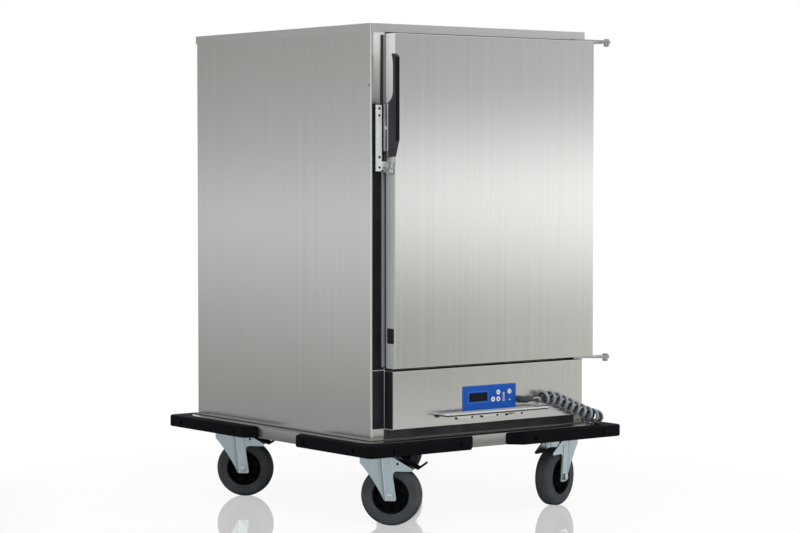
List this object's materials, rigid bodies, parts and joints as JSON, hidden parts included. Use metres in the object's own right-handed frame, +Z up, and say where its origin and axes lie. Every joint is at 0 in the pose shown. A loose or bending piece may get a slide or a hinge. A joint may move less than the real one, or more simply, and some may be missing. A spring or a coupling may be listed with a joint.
{
  "type": "heated banquet trolley",
  "caption": "Insulated heated cabinet on swivel casters for GN 2/1 trays, with a side-hinged lever-latched door, control box, curly mains cord and corner bumpers.",
  "frame": {"origin": "on the floor under the middle of the bumper outline", "axes": "+Z up, the door faces -Y, +X is the right side seen from the front"},
  "size_m": [0.818, 0.92, 1.226],
  "materials": {
    "stainless": "brushed",
    "liner_steel": "satin",
    "heater_steel": "heat tinted",
    "polished_bar": "polished",
    "zinc": "zinc plated",
    "motor_grey": "satin",
    "black_trim": "fine grain",
    "bumper_black": "satin",
    "hub_black": "satin",
    "tyre_grey": "smooth solid rubber",
    "gasket_grey": "matt",
    "foam": "cut foam",
    "overlay_blue": "satin film",
    "display_black": "gloss",
    "key_white": "satin",
    "board_green": "lacquer",
    "cord_grey": "satin"
  },
  "bodies": {
    "cabinet": {"base_frame": "stainless", "left_wall": "stainless", "right_wall": "stainless", "rear_wall": "stainless", "top_cap": "stainless", "front_frame": "stainless", "plinth_strip": "black_trim", "door_gasket": "gasket_grey", "wall_insulation": "foam", "liner_sides": "liner_steel", "liner_rear": "liner_steel", "liner_ceiling": "liner_steel", "liner_floor": "liner_steel", "tray_racks": "liner_steel", "heater_element": "heater_steel", "fan_motor": "motor_grey", "temperature_probe": "heater_steel", "control_cover": "stainless", "control_overlay": "overlay_blue", "display_window": "display_black", "controller_board": "board_green", "guard_rail": "polished_bar", "hinge_brackets": "zinc", "keeper_plate": "zinc", "fixing_screws": "zinc", "bumper_front_left": "bumper_black", "bumper_front_right": "bumper_black", "bumper_rear_left": "bumper_black", "bumper_rear_right": "bumper_black", "caster_plates": "zinc", "cord_gland": "black_trim", "curly_cord": "cord_grey", "cord_plug": "cord_grey", "plug_holder": "stainless"},
    "door": {"door_skin": "stainless", "door_inner": "liner_steel", "door_insulation": "foam", "hinge_arms": "zinc", "latch_plate": "zinc"},
    "latch": {"latch_lever": "black_trim", "latch_hook": "zinc"},
    "fan": {"fan_wheel": "zinc"},
    "key_up_body": {"key_up": "key_white"},
    "key_down_body": {"key_down": "key_white"},
    "key_set_body": {"key_set": "key_white"},
    "key_power_body": {"key_power": "key_white"},
    "caster_front_left": {"fork_front_left": "zinc"},
    "wheel_front_left": {"hub_front_left": "hub_black", "tyre_front_left": "tyre_grey"},
    "pedal_front_left_body": {"pedal_front_left": "hub_black"},
    "caster_front_right": {"fork_front_right": "zinc"},
    "wheel_front_right": {"hub_front_right": "hub_black", "tyre_front_right": "tyre_grey"},
    "caster_rear_left": {"fork_rear_left": "zinc"},
    "wheel_rear_left": {"hub_rear_left": "hub_black", "tyre_rear_left": "tyre_grey"},
    "pedal_rear_left_body": {"pedal_rear_left": "hub_black"},
    "caster_rear_right": {"fork_rear_right": "zinc"},
    "wheel_rear_right": {"hub_rear_right": "hub_black", "tyre_rear_right": "tyre_grey"}
  },
  "joints": [
    {"name": "door_swing", "type": "hinge", "parent": "cabinet", "child": "door", "pos_m": [0.398, -0.401, 0.794], "axis": [0, 0, 1], "range_deg": [0, 250]},
    {"name": "latch_tilt", "type": "hinge", "parent": "door", "child": "latch", "pos_m": [-0.3105, -0.4055, 0.8815], "axis": [1, 0, 0], "range_deg": [0, 75]},
    {"name": "fan_spin", "type": "hinge", "parent": "cabinet", "child": "fan", "pos_m": [0, 0.15, 0.3], "axis": [0, 0, 1], "continuous": true},
    {"name": "key_up_press", "type": "slide", "parent": "cabinet", "child": "key_up_body", "axis": [0, 1, 0], "range_m": [0, 0.0008], "stiffness_N_per_m": 400},
    {"name": "key_down_press", "type": "slide", "parent": "cabinet", "child": "key_down_body", "axis": [0, 1, 0], "range_m": [0, 0.0008], "stiffness_N_per_m": 400},
    {"name": "key_set_press", "type": "slide", "parent": "cabinet", "child": "key_set_body", "axis": [0, 1, 0], "range_m": [0, 0.0008], "stiffness_N_per_m": 400},
    {"name": "key_power_press", "type": "slide", "parent": "cabinet", "child": "key_power_body", "axis": [0, 1, 0], "range_m": [0, 0.0008], "stiffness_N_per_m": 400},
    {"name": "swivel_front_left", "type": "hinge", "parent": "cabinet", "child": "caster_front_left", "pos_m": [-0.308, -0.338, 0.165], "axis": [0, 0, 1], "continuous": true},
    {"name": "roll_front_left", "type": "hinge", "parent": "caster_front_left", "child": "wheel_front_left", "pos_m": [-0.27731, -0.37091, 0.075], "axis": [0.7314, 0.682, 0], "continuous": true},
    {"name": "brake_front_left", "type": "hinge", "parent": "caster_front_left", "child": "pedal_front_left_body", "pos_m": [-0.26435, -0.38481, 0.154], "axis": [0.7314, 0.682, 0], "range_deg": [0, 12]},
    {"name": "swivel_front_right", "type": "hinge", "parent": "cabinet", "child": "caster_front_right", "pos_m": [0.308, -0.338, 0.165], "axis": [0, 0, 1], "continuous": true},
    {"name": "roll_front_right", "type": "hinge", "parent": "caster_front_right", "child": "wheel_front_right", "pos_m": [0.26571, -0.35339, 0.075], "axis": [0.342, -0.9397, 0], "continuous": true},
    {"name": "swivel_rear_left", "type": "hinge", "parent": "cabinet", "child": "caster_rear_left", "pos_m": [-0.308, 0.311, 0.165], "axis": [0, 0, 1], "continuous": true},
    {"name": "roll_rear_left", "type": "hinge", "parent": "caster_rear_left", "child": "wheel_rear_left", "pos_m": [-0.27731, 0.27809, 0.075], "axis": [0.7314, 0.682, 0], "continuous": true},
    {"name": "brake_rear_left", "type": "hinge", "parent": "caster_rear_left", "child": "pedal_rear_left_body", "pos_m": [-0.26435, 0.26419, 0.154], "axis": [0.7314, 0.682, 0], "range_deg": [0, 12]},
    {"name": "swivel_rear_right", "type": "hinge", "parent": "cabinet", "child": "caster_rear_right", "pos_m": [0.308, 0.311, 0.165], "axis": [0, 0, 1], "continuous": true},
    {"name": "roll_rear_right", "type": "hinge", "parent": "caster_rear_right", "child": "wheel_rear_right", "pos_m": [0.27206, 0.33808, 0.075], "axis": [-0.6018, -0.7986, 0], "continuous": true}
  ]
}
